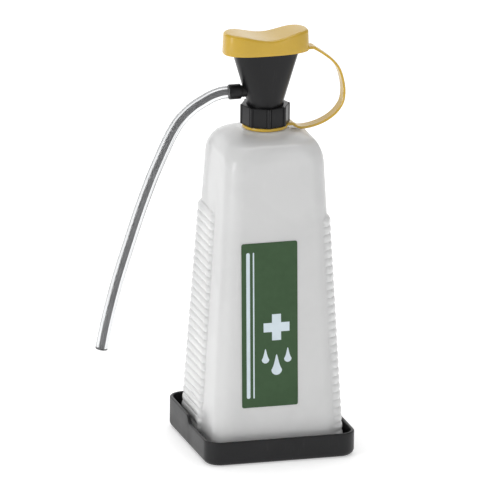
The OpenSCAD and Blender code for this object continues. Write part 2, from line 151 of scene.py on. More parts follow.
class EyewashSizes(bpy.types.PropertyGroup):
    rib_pitch: bpy.props.FloatProperty(
        name="Rib pitch", description="Centre distance of the grip ribs",
        unit="LENGTH", min=0.004, max=0.008, precision=4, default=0.0052)
    rib_height: bpy.props.FloatProperty(
        name="Rib height", description="Height of the grip ribs over the side walls",
        unit="LENGTH", min=0.0005, max=0.0026, precision=4, default=0.0022)
    rib_count: bpy.props.IntProperty(
        name="Ribs", description="Number of grip ribs on each side", min=4, max=28, default=28)
    hose_diameter: bpy.props.FloatProperty(
        name="Hose diameter", description="Outer diameter of the drain hose",
        unit="LENGTH", min=0.006, max=0.01, precision=4, default=0.008)
    hose_bore: bpy.props.FloatProperty(
        name="Hose bore", description="Diameter of the bore through the drain hose",
        unit="LENGTH", min=0.002, max=0.006, precision=4, default=0.0026)
    edge: bpy.props.FloatProperty(
        name="Edge rounding", description="Radius of the moulded pieces' small edges",
        unit="LENGTH", min=0.0001, max=0.001, precision=4, default=0.0005)


# ---- Modelling ----


def loft(name, rings, closed=True):
    """Extrudes an outline through rings of points, and closes or welds its two ends."""
    bpy.ops.object.select_all(action="DESELECT")
    bpy.ops.mesh.primitive_circle_add(
        vertices=len(rings[0]), fill_type="NGON" if closed else "NOTHING")
    piece = bpy.context.object
    piece.name = piece.data.name = name
    bpy.ops.object.mode_set(mode="EDIT")
    bpy.ops.mesh.select_all(action="SELECT")
    mesh = bmesh.from_edit_mesh(piece.data)
    place = mesh.verts.layers.int.new("place")
    for i, vertex in enumerate(mesh.verts):
        vertex[place] = i
    for k, ring in enumerate(rings):
        if k:
            bpy.ops.mesh.extrude_region_move()
        mesh = bmesh.from_edit_mesh(piece.data)
        place = mesh.verts.layers.int["place"]
        for vertex in mesh.verts:
            if vertex.select:
                vertex.co = ring[vertex[place]]
        bmesh.update_edit_mesh(piece.data)
    bpy.ops.mesh.select_all(action="SELECT")
    bpy.ops.mesh.remove_doubles(threshold=1e-6)
    bpy.ops.mesh.normals_make_consistent(inside=False)
    bpy.ops.object.mode_set(mode="OBJECT")
    piece.data.attributes.remove(piece.data.attributes["place"])
    return piece


def join(piece, *others):
    """Makes the others part of the piece's mesh."""
    bpy.ops.object.select_all(action="DESELECT")
    for other in others:
        other.select_set(True)
    piece.select_set(True)
    bpy.context.view_layer.objects.active = piece
    bpy.ops.object.join()
    return piece


def dress(piece, body, material, replaces=(), angle=35):
    """Smooths a piece, gives it its material, ties it to its body and hides the CAD nodes it
    replaces.
    """
    bpy.ops.object.select_all(action="DESELECT")
    piece.select_set(True)
    bpy.context.view_layer.objects.active = piece
    bpy.ops.object.shade_smooth_by_angle(angle=math.radians(angle))
    if not piece.data.materials:
        piece.data.materials.append(material)
    if body:
        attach(piece, body)
    if replaces:
        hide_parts(*replaces)
    return piece


def repaint(node, material):
    """Gives a CAD node a detailed material."""
    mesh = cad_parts[node].data
    mesh.materials.clear()
    mesh.materials.append(material)


def mix(a, b, t):
    return a + (b - a) * t


def smooth_rows(table, count):
    """Rows on a smooth curve through the table's rows."""
    rows = []
    last = len(table) - 1
    for k in range(count + 1):
        at = last * k / count
        i = min(int(at), last - 1)
        t = at - i
        four = [table[min(max(i + d, 0), last)] for d in (-1, 0, 1, 2)]
        rows.append(tuple(
            0.5 * (2 * b + (c - a) * t + (2 * a - 5 * b + 4 * c - d) * t * t
                   + (3 * b - a - 3 * c + d) * t ** 3)
            for a, b, c, d in zip(*four)))
    return rows


def arc(count, start=0.0, end=90.0):
    """Sine and cosine at even steps of an angle in degrees."""
    return [
        (math.sin(a), math.cos(a))
        for a in (math.radians(mix(start, end, i / count)) for i in range(count + 1))
    ]


def circle(radius, z, angles):
    return [Vector((radius * math.cos(a), radius * math.sin(a), z)) for a in angles]


def turns(count):
    return [2 * math.pi * i / count for i in range(count)]


def along_x(ring, x, z):
    """Turns a ring about Z into a ring about an axis that points to -X."""
    return [Vector((x, p.x, z + p.y)) for p in ring]


def helix(name, root, tip, z0, start=0.0):
    """The neck's thread on a cylinder, running out into it at both ends."""
    width, crest = 2.2 * MM, 1.0 * MM
    steps = round(40 * THREAD_TURNS)
    rings = []
    for i in range(steps + 1):
        fade = min(1, i / 5, (steps - i) / 5)
        reach = mix(root, tip, 0.05 + 0.95 * fade)
        a = start + 2 * math.pi * i / 40
        z = z0 + THREAD_PITCH * i / 40
        flank, spread = mix(root, reach, 0.85), crest / 2 + 0.1 * MM
        outline = [(root, -width / 2), (flank, -spread), (reach, -crest / 4),
                   (reach, crest / 4), (flank, spread), (root, width / 2)]
        rings.append([Vector((r * math.cos(a), r * math.sin(a), z + dz)) for r, dz in outline])
    return loft(name, rings)


# ---- Materials ----


def new_group(name, inputs, outputs):
    """A shader node group with float, vector or colour inputs and its two end nodes."""
    group = bpy.data.node_groups.new(name, "ShaderNodeTree")
    for label, kind, value in inputs:
        socket = group.interface.new_socket(
            label, in_out="INPUT", socket_type="NodeSocket" + kind)
        if value is not None:
            socket.default_value = value
    for label, kind in outputs:
        group.interface.new_socket(label, in_out="OUTPUT", socket_type="NodeSocket" + kind)
    return group, group.nodes.new("NodeGroupInput"), group.nodes.new("NodeGroupOutput")


def node(tree, kind, **values):
    """A node with its settings, and its inputs set by name or number."""
    made = tree.nodes.new("ShaderNode" + kind)
    for key, value in values.items():
        if key == "inputs":
            for socket, number in value.items():
                made.inputs[socket].default_value = number
        else:
            setattr(made, key, value)
    return made


def moulded_grain():
    """Fine spark-eroded grain of a mould, with slow waves where the plastic shrank."""
    name = "Moulded Grain"
    if name in bpy.data.node_groups:
        return bpy.data.node_groups[name]
    group, take, give = new_group(
        name,
        [("Vector", "Vector", None), ("Grain Scale", "Float", 2200.0),
         ("Wave Scale", "Float", 45.0), ("Wave Share", "Float", 0.5)],
        [("Height", "Float"), ("Grain", "Float")])
    link = group.links.new
    grain = node(group, "TexNoise", inputs={"Detail": 3.0, "Roughness": 0.6})
    wave = node(group, "TexNoise", inputs={"Detail": 1.0, "Roughness": 0.4})
    both = node(group, "Mix", data_type="FLOAT")
    link(take.outputs["Vector"], grain.inputs["Vector"])
    link(take.outputs["Vector"], wave.inputs["Vector"])
    link(take.outputs["Grain Scale"], grain.inputs["Scale"])
    link(take.outputs["Wave Scale"], wave.inputs["Scale"])
    link(take.outputs["Wave Share"], both.inputs["Factor"])
    link(grain.outputs["Fac"], both.inputs["A"])
    link(wave.outputs["Fac"], both.inputs["B"])
    link(both.outputs["Result"], give.inputs["Height"])
    link(grain.outputs["Fac"], give.inputs["Grain"])
    return group


def handling_marks():
    """Soft smudges and thin scuffs left by hands and shelves."""
    name = "Handling Marks"
    if name in bpy.data.node_groups:
        return bpy.data.node_groups[name]
    group, take, give = new_group(
        name,
        [("Vector", "Vector", None), ("Scale", "Float", 30.0), ("Scuffs", "Float", 0.5)],
        [("Mask", "Float"), ("Scuff", "Float")])
    link = group.links.new
    smudge = node(group, "TexNoise", inputs={"Detail": 4.0, "Roughness": 0.55, "Distortion": 0.6})
    soft = node(group, "MapRange", inputs={"From Min": 0.42, "From Max": 0.68})
    stretch = node(group, "Mapping")
    stretch.inputs["Scale"].default_value = (1, 1, 0.12)
    stretch.inputs["Rotation"].default_value = (0.3, 0.2, 0.5)
    scratch = node(group, "TexNoise", inputs={"Scale": 900.0, "Detail": 2.0})
    thin = node(group, "MapRange", inputs={"From Min": 0.63, "From Max": 0.72})
    share = node(group, "Math", operation="MULTIPLY")
    link(take.outputs["Vector"], smudge.inputs["Vector"])
    link(take.outputs["Scale"], smudge.inputs["Scale"])
    link(smudge.outputs["Fac"], soft.inputs["Value"])
    link(take.outputs["Vector"], stretch.inputs["Vector"])
    link(stretch.outputs["Vector"], scratch.inputs["Vector"])
    link(scratch.outputs["Fac"], thin.inputs["Value"])
    link(thin.outputs["Result"], share.inputs[0])
    link(take.outputs["Scuffs"], share.inputs[1])
    link(soft.outputs["Result"], give.inputs["Mask"])
    link(share.outputs["Value"], give.inputs["Scuff"])
    return group


def edge_wear():
    """Where outer edges are rubbed, broken up by noise."""
    name = "Edge Wear"
    if name in bpy.data.node_groups:
        return bpy.data.node_groups[name]
    group, take, give = new_group(
        name,
        [("Vector", "Vector", None), ("Scale", "Float", 260.0), ("Amount", "Float", 0.5)],
        [("Mask", "Float")])
    link = group.links.new
    shape = node(group, "NewGeometry")
    edges = node(group, "MapRange", inputs={"From Min": 0.52, "From Max": 0.62})
    noise = node(group, "TexNoise", inputs={"Detail": 4.0, "Roughness": 0.65})
    broken = node(group, "MapRange", inputs={"From Min": 0.35, "From Max": 0.65})
    both = node(group, "Math", operation="MULTIPLY")
    share = node(group, "Math", operation="MULTIPLY")
    link(shape.outputs["Pointiness"], edges.inputs["Value"])
    link(take.outputs["Vector"], noise.inputs["Vector"])
    link(take.outputs["Scale"], noise.inputs["Scale"])
    link(noise.outputs["Fac"], broken.inputs["Value"])
    link(edges.outputs["Result"], both.inputs[0])
    link(broken.outputs["Result"], both.inputs[1])
    link(both.outputs["Value"], share.inputs[0])
    link(take.outputs["Amount"], share.inputs[1])
    link(share.outputs["Value"], give.inputs["Mask"])
    return group


def placed(tree, group, coordinates, **values):
    """A group in a material, fed with object coordinates and its own values."""
    made = tree.nodes.new("ShaderNodeGroup")
    made.node_tree = group
    tree.links.new(coordinates, made.inputs["Vector"])
    for label, value in values.items():
        made.inputs[label.replace("_", " ")].default_value = value
    return made


def plastic(name, colour, worn, roughness, grain=(2200.0, 45.0, 0.5, 0.00002),
            marks=(30.0, 0.15), wear=0.4, shader=None):
    """A moulded plastic, made once for each name. Its colour shifts with handling and wear,
    and its gloss with smudges. The names differ from those of the frame's own materials."""
    if name in bpy.data.materials:
        return bpy.data.materials[name]
    material = bpy.data.materials.new(name)
    material.use_nodes = True
    tree = material.node_tree
    tree.nodes.clear()
    link = tree.links.new
    out = node(tree, "OutputMaterial")
    skin = node(tree, "BsdfPrincipled")
    link(skin.outputs["BSDF"], out.inputs["Surface"])
    where = node(tree, "TexCoord").outputs["Object"]
    grains = placed(tree, moulded_grain(), where, Grain_Scale=grain[0], Wave_Scale=grain[1],
                    Wave_Share=grain[2])
    touched = placed(tree, handling_marks(), where, Scale=marks[0], Scuffs=marks[1])
    rubbed = placed(tree, edge_wear(), where, Amount=wear)
    worst = node(tree, "Math", operation="MAXIMUM")
    link(touched.outputs["Scuff"], worst.inputs[0])
    link(rubbed.outputs["Mask"], worst.inputs[1])
    tone = node(tree, "Mix", data_type="RGBA")
    tone.inputs["A"].default_value = (*colour, 1)
    tone.inputs["B"].default_value = (*worn, 1)
    link(worst.outputs["Value"], tone.inputs["Factor"])
    shade = node(tree, "Mix", data_type="RGBA", blend_type="MULTIPLY")
    shade.inputs["B"].default_value = (0.93, 0.93, 0.93, 1)
    link(touched.outputs["Mask"], shade.inputs["Factor"])
    link(tone.outputs["Result"], shade.inputs["A"])
    link(shade.outputs["Result"], skin.inputs["Base Color"])
    gloss = node(tree, "MapRange", inputs={"To Min": roughness[0], "To Max": roughness[1]})
    link(touched.outputs["Mask"], gloss.inputs["Value"])
    link(gloss.outputs["Result"], skin.inputs["Roughness"])
    bump = node(tree, "Bump", inputs={"Strength": 1.0, "Distance": grain[3]})
    link(grains.outputs["Height"], bump.inputs["Height"])
    link(bump.outputs["Normal"], skin.inputs["Normal"])
    for socket, value in (shader or {}).items():
        skin.inputs[socket].default_value = value
    return material


def lighter(colour, factor):
    return tuple(min(1, c * factor + 0.01) for c in colour)


def black_satin():
    colour = bpy.context.scene.eyewash_colours.black
    return plastic("black_satin", colour, lighter(colour, 3.0), (0.3, 0.42),
                   shader={"Specular IOR Level": 0.32})


def tray_satin():
    colour = bpy.context.scene.eyewash_colours.tray
    return plastic("tray_satin", colour, lighter(colour, 3.0), (0.36, 0.5),
                   grain=(1500.0, 30.0, 0.3, 0.00004), marks=(22.0, 0.15), wear=0.5,
                   shader={"Specular IOR Level": 0.32})


def yellow_gloss():
    colour = bpy.context.scene.eyewash_colours.yellow
    return plastic("yellow_gloss", colour, lighter(colour, 1.15), (0.17, 0.27), wear=0.3,
                   shader={"Subsurface Weight": 0.12, "Subsurface Scale": 0.002,
                           "Subsurface Radius": (1, 0.9, 0.6),
                           "Specular IOR Level": 0.6})


def bottle_milky():
    colour = bpy.context.scene.eyewash_colours.bottle
    return plastic("bottle_milky", colour, lighter(colour, 1.05), (0.34, 0.44),
                   grain=(1100.0, 26.0, 0.75, 0.00006), marks=(16.0, 0.25), wear=0.15,
                   shader={"Subsurface Weight": 0.6, "Subsurface Scale": 0.005,
                           "Subsurface Radius": (1, 1, 1),
                           "Transmission Weight": 0.06, "IOR": 1.5, "Coat Weight": 0.35,
                           "Coat Roughness": 0.12})


def label_green():
    colour = bpy.context.scene.eyewash_colours.label
    return plastic("label_green", colour, lighter(colour, 1.3), (0.36, 0.46),
                   grain=(2600.0, 60.0, 0.4, 0.00001), marks=(40.0, 0.3), wear=0.3,
                   shader={"Specular IOR Level": 0.35})


def label_ink():
    colour = bpy.context.scene.eyewash_colours.ink
    return plastic("label_ink", colour, lighter(colour, 0.9), (0.4, 0.5),
                   grain=(3000.0, 80.0, 0.3, 0.000008), marks=(60.0, 0.3), wear=0.1)


def gasket_white():
    return plastic("gasket_white", (0.72, 0.72, 0.68), (0.8, 0.8, 0.76), (0.75, 0.9),
                   grain=(1400.0, 200.0, 0.3, 0.0002), marks=(60.0, 0.1), wear=0.2)


def nozzle_grey():
    return plastic("nozzle_grey", (0.52, 0.54, 0.55), (0.62, 0.63, 0.64), (0.28, 0.4),
                   marks=(60.0, 0.3), wear=0.3)


def dip_tube_clear():
    return plastic("dip_tube_clear", (0.75, 0.77, 0.78), (0.8, 0.81, 0.82), (0.22, 0.32),
                   marks=(50.0, 0.2), wear=0.1,
                   shader={"Transmission Weight": 0.35, "IOR": 1.5})


def hose_clear():
    colour = bpy.context.scene.eyewash_colours.hose
    return plastic("hose_clear", colour, colour, (0.03, 0.09),
                   grain=(900.0, 90.0, 0.8, 0.000015), marks=(80.0, 0.2), wear=0.0,
                   shader={"Transmission Weight": 1.0, "IOR": 1.46})


# Dark grey for the wall of the hose's bore: painted shade for the dark core seen through the clear
# hose, not the colour of the clear plastic
def hose_core_painted_shade():
    return plastic("hose_core_painted_shade", (0.29, 0.29, 0.295), (0.36, 0.36, 0.36), (0.5, 0.6),
                   grain=(400.0, 90.0, 0.8, 0.00002), marks=(90.0, 0.1), wear=0.0)


# ---- Pieces ----


def hose_path():
    """Points on a smooth curve through the hose's route."""
    return [
        Vector((HOSE_EXIT[0] + x, 0, HOSE_EXIT[2] + z))
        for x, z in smooth_rows(HOSE_ROUTE, 5 * (len(HOSE_ROUTE) - 1))
    ]


class EYEWASH_OT_hose(bpy.types.Operator):
    """Clear drain hose that hangs free from its sleeve, with a plain cut end"""

    bl_idname = "eyewash.add_hose"
    bl_label = "Drain Hose"

    def execute(self, context):
        sizes = context.scene.eyewash_sizes
        radius, bore = sizes.hose_diameter / 2, sizes.hose_bore / 2
        path = hose_path()
        side = Vector((0, 1, 0))
        round_ = turns(28)

        def ring(i, r, back=0.0):
            if i == 0:
                along = Vector((-1, 0, 0))
            else:
                along = (path[min(i + 1, len(path) - 1)] - path[i - 1]).normalized()
            up = along.cross(side)
            return [path[i] - along * back + r * (math.cos(a) * side + math.sin(a) * up)
                    for a in round_]

        last = len(path) - 1
        rings = [ring(0, bore)]
        rings += [ring(i, radius) for i in range(last)]
        rings += [ring(last, radius, 0.25 * MM), ring(last, radius - 0.2 * MM)]
        rings += [ring(last, bore + 0.15 * MM), ring(last, bore, 0.2 * MM)]
        rings += [ring(i, bore) for i in range(last - 1, -1, -1)]
        hose = loft("drain_hose_clear", rings, closed=False)
        hose.data.materials.append(hose_clear())
        hose.data.materials.append(hose_core_painted_shade())
        # Faces of the bore get the dark grey second material: painted shade for the hose's dark
        # core
        for face in hose.data.polygons:
            middle = Vector(face.center)
            near = min(path, key=lambda p: (p - middle).length)
            if (middle - near).length < (bore + radius) / 2:
                face.material_index = 1
        dress(hose, "cup", None, ["drain_hose"])
        return {"FINISHED"}


def square_ring(half, radius, height, ys=(), steps=9):
    """Rounded square about Z, anticlockwise, with extra points along its two X sides.
    The height is a number or a function of y."""
    radius = max(0.0004, min(radius, half - 0.0002))
    flat = half - radius
    arcs = [math.radians(90 * i / steps) for i in range(steps + 1)]
    reach = min(1, 0.9 * flat / (max(map(abs, ys)) if ys else 1))
    points = [(flat + radius * math.sin(a), -flat - radius * math.cos(a)) for a in arcs]
    points += [(half, reach * y) for y in ys]
    points += [(flat + radius * math.cos(a), flat + radius * math.sin(a)) for a in arcs]
    points += [(-flat - radius * math.sin(a), flat + radius * math.cos(a)) for a in arcs]
    points += [(-half, reach * y) for y in reversed(ys)]
    points += [(-flat - radius * math.cos(a), -flat - radius * math.sin(a)) for a in arcs]
    z = height if callable(height) else lambda y: height
    return [Vector((x, y, z(y))) for x, y in points]


class EYEWASH_OT_tray(bpy.types.Operator):
    """Black tray with round corners, a shallow recess below and a rim that steps up behind"""

    bl_idname = "eyewash.add_tray"
    bl_label = "Tray"

    def execute(self, context):
        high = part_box("base_tray")[1]
        half, rear = high.x, high.z
        front, wall, floor = 16 * MM, 2.2 * MM, 2.4 * MM
        corner, fillet, edge, soft = 11 * MM, 4 * MM, 0.8 * MM, 2.5 * MM
        step_start, step_length = -6 * MM, 6.5 * MM
        ys = [step_start + (0.8 * i - 3) * MM for i in range(15)]

        def rim(y):
            t = min(1, max(0, (y - step_start) / step_length))
            return mix(front, rear, t * t * (3 - 2 * t))

        def ring(inset, z):
            return square_ring(half - inset, corner - inset, z, ys)

        def under_rim(down):
            return lambda y: rim(y) - down

        rings = [ring(12 * MM, 0.6 * MM), ring(10 * MM, 0.6 * MM), ring(9.6 * MM, 0.1 * MM),
                 ring(9.2 * MM, 0)]
        rings += [ring(fillet * (1 - s), fillet * (1 - c)) for s, c in arc(8)]
        rings += [ring(0, 6 * MM), ring(0, 9 * MM), ring(0, 12 * MM)]
        rings += [ring(edge * (1 - c), under_rim(edge * (1 - s))) for s, c in arc(5)]
        rings += [ring(wall - edge * (1 - s), under_rim(edge * (1 - c))) for s, c in arc(5)]
        rings += [ring(wall, 10 * MM), ring(wall, 7 * MM)]
        rings += [ring(wall + soft * (1 - c), floor + soft * (1 - s)) for s, c in arc(6)]
        rings += [ring(9 * MM, floor), ring(9.6 * MM, floor + 0.5 * MM),
                  ring(14 * MM, floor + 0.5 * MM)]
        dress(loft("tray_moulding", rings), "tray", tray_satin(),
              ["base_tray"])
        return {"FINISHED"}


class EYEWASH_OT_bottle(bpy.types.Operator):
    """Milky squeeze bottle with a tapered square body, grip ribs, a neck and its thread"""

    bl_idname = "eyewash.add_bottle"
    bl_label = "Bottle"

    def execute(self, context):
        sizes = context.scene.eyewash_sizes
        low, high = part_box("bottle")
        foot = low.z
        corner, wall = 12 * MM, 1.3 * MM
        body_top = high.z - NECK_HEIGHT
        straight_top = body_top - 18 * MM
        first = foot + 9.5 * MM
        # A rib is a cap of a round bar that lies this far under the wall; it ends past rib_end
        bar_r, sink = 4.2 * MM, 2.0 * MM
        rib_end, corner_end = 4.3 * MM, 36
        scale = sizes.rib_height / (bar_r - sink)
        steps = 15
        side_ys = [v * MM for v in (-14, 0, 4.3, 5.1, 5.9, 6.6, 7.2, 7.7, 8.0, 12)]

        def half(z):
            return BOTTLE_HALF - TAPER * (z - foot - FOOT_RISE)

        def rib(z, s):
            """Height of the nearest rib over the wall, s past the start of its end."""
            if z < first - 2.61 * MM or z > first + (sizes.rib_count - 0.5) * sizes.rib_pitch:
                return 0.0
            nearest = min(max(round((z - first) / sizes.rib_pitch), 0), sizes.rib_count - 1)
            d = math.hypot(z - first - nearest * sizes.rib_pitch, max(s, 0))
            return scale * max(0.0, math.sqrt(max(bar_r * bar_r - d * d, 0)) - sink)

        def ring(z, w, r, ribs=True):
            flat = w - r
            reach = min(1, 0.7 * flat / (12 * MM))
            points = []
            for i in range(steps + 1):
                a = -90 + 90 * i / steps
                q = r + (rib(z, math.radians(-a - corner_end) * r) if ribs else 0)
                points.append((flat + q * math.cos(math.radians(a)),
                               q * math.sin(math.radians(a)) - flat))
            for y in side_ys:
                points.append((w + (rib(z, y - rib_end) if ribs else 0), reach * y))
            for i in range(steps + 1):
                a = math.radians(90 * i / steps)
                points.append((flat + r * math.cos(a), flat + r * math.sin(a)))
            points += [(-x, -y) for x, y in points]
            return [Vector((x, y, z)) for x, y in points]

        def foot_rings(table):
            return [ring(foot + z * MM, BOTTLE_HALF - d * MM, corner - r * MM, False)
                    for z, d, r in table]

        rings = foot_rings([(1.5, 16, 4), *FOOT_UNDERSIDE])
        z = first - sizes.rib_pitch / 2
        rings.append(ring(z, half(z), corner, False))
        for i in range(sizes.rib_count):
            for share in (-0.497, -0.41, -0.29, -0.12, 0.12, 0.29, 0.41):
                z = first + (i + share) * sizes.rib_pitch
                rings.append(ring(z, half(z), corner))
        z = first + (sizes.rib_count - 0.5) * sizes.rib_pitch
        rings += [ring(z - 0.02 * MM, half(z), corner), ring(z + 0.9 * MM, half(z), corner, False)]
        rings += [ring(z, half(z), corner, False)
                  for z in (mix(z + 8 * MM, straight_top - 4 * MM, t) for t in (0, 0.33, 0.66, 1))]

        def shoulder(inset, count):
            for share, width_share, gain in smooth_rows(SHOULDER, count):
                w = half(straight_top) * width_share - inset
                r = min(corner + gain * MM - inset, w - 0.4 * MM)
                yield ring(mix(straight_top, body_top, share) - inset, w, r, False)

        rings += list(shoulder(0, 26))
        angles = [math.atan2(p.y, p.x) for p in rings[-1]]
        rings += [circle(r * MM, body_top + z * MM, angles) for r, z in (
            (12.9, 0.05), (12.4, 0.3), (12.1, 0.9), (12.1, 4), (12.1, 8), (12.1, 10.7),
            (11.95, 11.05), (11.6, 11.2), (10.8, 11.2), (10.42, 11.05), (10.3, 10.7),
            (10.3, 5), (10.3, 0), (10.9, -1.25))]
        rings += list(shoulder(wall, 9))[::-1]
        rings += [ring(z, half(z) - wall, corner - wall, False)
                  for z in (mix(straight_top - 6 * MM, foot + 12 * MM, t / 6) for t in range(7))]
        rings += foot_rings(FOOT_INSIDE)
        body = loft("bottle_body", rings)
        thread = helix("bottle_thread", NECK_R - 0.3 * MM, THREAD_R, body_top + 4.8 * MM)
        dress(join(body, thread), "bottle", bottle_milky(), ["bottle"], 50)
        return {"FINISHED"}


def on_label(u, v, lift):
    """A point of the label's print, u along and v up its face, lifted off it."""
    low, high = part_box("label")
    lean = math.atan(TAPER)
    rise = low.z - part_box("bottle")[0].z - FOOT_RISE
    foot = Vector(((low.x + high.x) / 2, TAPER * rise - BOTTLE_HALF, low.z))
    up = Vector((0, math.sin(lean), math.cos(lean)))
    out = Vector((0, -math.cos(lean), math.sin(lean)))
    return foot + Vector((u, 0, 0)) + v * up + lift * out


def printed(name, outline, low=FILM, high=FILM + INK):
    """A flat sheet or print on the label, from its outline in millimetres."""
    return loft(name, [[on_label(u * MM, v * MM, lift * MM) for u, v in outline]
                       for lift in (low, high)])


def rounded(u, v, w, h, r, steps=4):
    """Outline of a rounded rectangle about (u, v)."""
    points = []
    for i, (sx, sy) in enumerate(((1, -1), (1, 1), (-1, 1), (-1, -1))):
        for k in range(steps + 1):
            a = math.radians(90 * (i - 1) + 90 * k / steps)
            points.append((u + sx * (w / 2 - r) + r * math.cos(a),
                           v + sy * (h / 2 - r) + r * math.sin(a)))
    return points


class EYEWASH_OT_label(bpy.types.Operator):
    """Green label with a plain first-aid cross, falling drops and stripes"""

    bl_idname = "eyewash.add_label"
    bl_label = "Label"

    def execute(self, context):
        width, height = 37, 108
        film = printed("label_film_sheet", rounded(0, height / 2, width, height, 1.2), 0, FILM)
        dress(film, "bottle", label_green(), ["label"])
        arm, thick = 8.6, 6
        cross = [(arm, -thick / 2), (arm, thick / 2), (thick / 2, thick / 2), (thick / 2, arm),
                 (-thick / 2, arm), (-thick / 2, thick / 2), (-arm, thick / 2),
                 (-arm, -thick / 2), (-thick / 2, -thick / 2), (-thick / 2, -arm),
                 (thick / 2, -arm), (thick / 2, -thick / 2)]
        shapes = [[(4.5 + x, 52 + y) for x, y in cross]]
        for u, v, size in ((4.5, 24, 1.35), (-2.9, 31, 0.95), (11.9, 31, 0.95)):
            drop = []
            for k in range(24):
                a = 2 * math.pi * k / 24
                lift = 1.9 * max(0, math.sin(a)) ** 3
                drop.append((u + 2.6 * size * math.cos(a) * (1 - 0.55 * max(0, math.sin(a))),
                             v + 2.6 * size * (math.sin(a) + lift)))
            shapes.append(drop)
        shapes += [rounded(-14.2, 54, 2.4, 96, 1.1), rounded(-10.6, 54, 0.9, 96, 0.4)]
        pieces = [printed(f"label_mark_{i}", s) for i, s in enumerate(shapes)]
        dress(join(*pieces), "bottle", label_ink())
        pieces[0].name = "label_print"
        return {"FINISHED"}


class EYEWASH_OT_collar(bpy.types.Operator):
    """Octagonal screw collar with ridged corners, a lid and an inner thread"""

    bl_idname = "eyewash.add_collar"
    bl_label = "Screw Collar"

    def execute(self, context):
        low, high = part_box("screw_collar")
        edge = context.scene.eyewash_sizes.edge
        # Corner radius of the octagon, a ridge's centre and radius, and the groove beside it
        corner, ridge_at, ridge_r, groove = 15.8, 14.9, 1.2, 0.45
        half_side = 22.5
        ridge = (0, 1, 2.1, 3.1, 3.9, 4.45)
        beside = (4.7, 6.2, 6.6, 7.2, 7.6, 10, 15)
        right = [*ridge, *beside]
        angles, outline = [], []
        for k in range(8):
            for d in (-half_side, *(-v for v in reversed(right[1:])), *right):
                r = (corner * math.cos(math.radians(half_side))
                     / math.cos(math.radians(half_side - abs(d))))
                if abs(d) <= ridge[-1]:
                    s = ridge_at * math.sin(math.radians(d))
                    r = max(r, ridge_at * math.cos(math.radians(d))
                            + math.sqrt(ridge_r * ridge_r - s * s))
                elif abs(d) <= 6.2:
                    r -= groove
                angles.append(math.radians(45 * k + d - 6))
                outline.append(r * MM)

        def ring(inset, z):
            return [Vector(((r - inset) * math.cos(a), (r - inset) * math.sin(a), z))
                    for r, a in zip(outline, angles)]

        mouth = circle(COLLAR_BORE_R, low.z + 0.4 * MM, angles)
        rings = [mouth, circle(COLLAR_BORE_R + 0.4 * MM, low.z, angles)]
        rings += [ring(edge * (1 - s), low.z + edge * (1 - c)) for s, c in arc(3)]
        rings += [ring(0, mix(low.z, high.z, t)) for t in (0.3, 0.6)]
        rings += [ring(edge * (1 - c), high.z - edge * (1 - s)) for s, c in arc(3)]
        rings += [circle(r * MM, high.z - d * MM, angles) for r, d in (
            (13.3, 0), (12.3, 0), (12.0, 0.1), (11.9, 0.35), (11.9, 1.5), (13.5, 1.5), (13.5, 6))]
        rings.append(mouth)
        collar = loft("collar_moulding", rings, closed=False)
        thread = helix("collar_thread", COLLAR_BORE_R + 0.3 * MM, 12.45 * MM,
                       low.z + 2.2 * MM, math.pi)
        dress(join(collar, thread), "collar", black_satin(),
              ["screw_collar"])
        return {"FINISHED"}


def oval(size, z, power=0.74, count=88):
    """Oval about Z of a half-length and a half-width, squarer than an ellipse. Its height is
    a number or a function of x."""
    ring = []
    for a in turns(count):
        c, s = math.cos(a), math.sin(a)
        x = size[0] * math.copysign(abs(c) ** power, c)
        y = size[1] * math.copysign(abs(s) ** power, s)
        ring.append(Vector((x, y, z(x) if callable(z) else z)))
    return ring


def inside(size, inset):
    """An oval's size, less an inset all round."""
    return size[0] - inset, size[1] - inset


def between(a, b, t):
    """The size between two ovals' sizes."""
    return mix(a[0], b[0], t), mix(a[1], b[1], t)


def saddle(x):
    """Height of the cap's top at x: a smooth dip between its level ends."""
    share = min(1, abs(x) / (DIP_SHARE * CAP_TOP[0]))
    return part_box("dust_cap")[1].z - CAP_DIP * (1 + math.cos(math.pi * share)) / 2


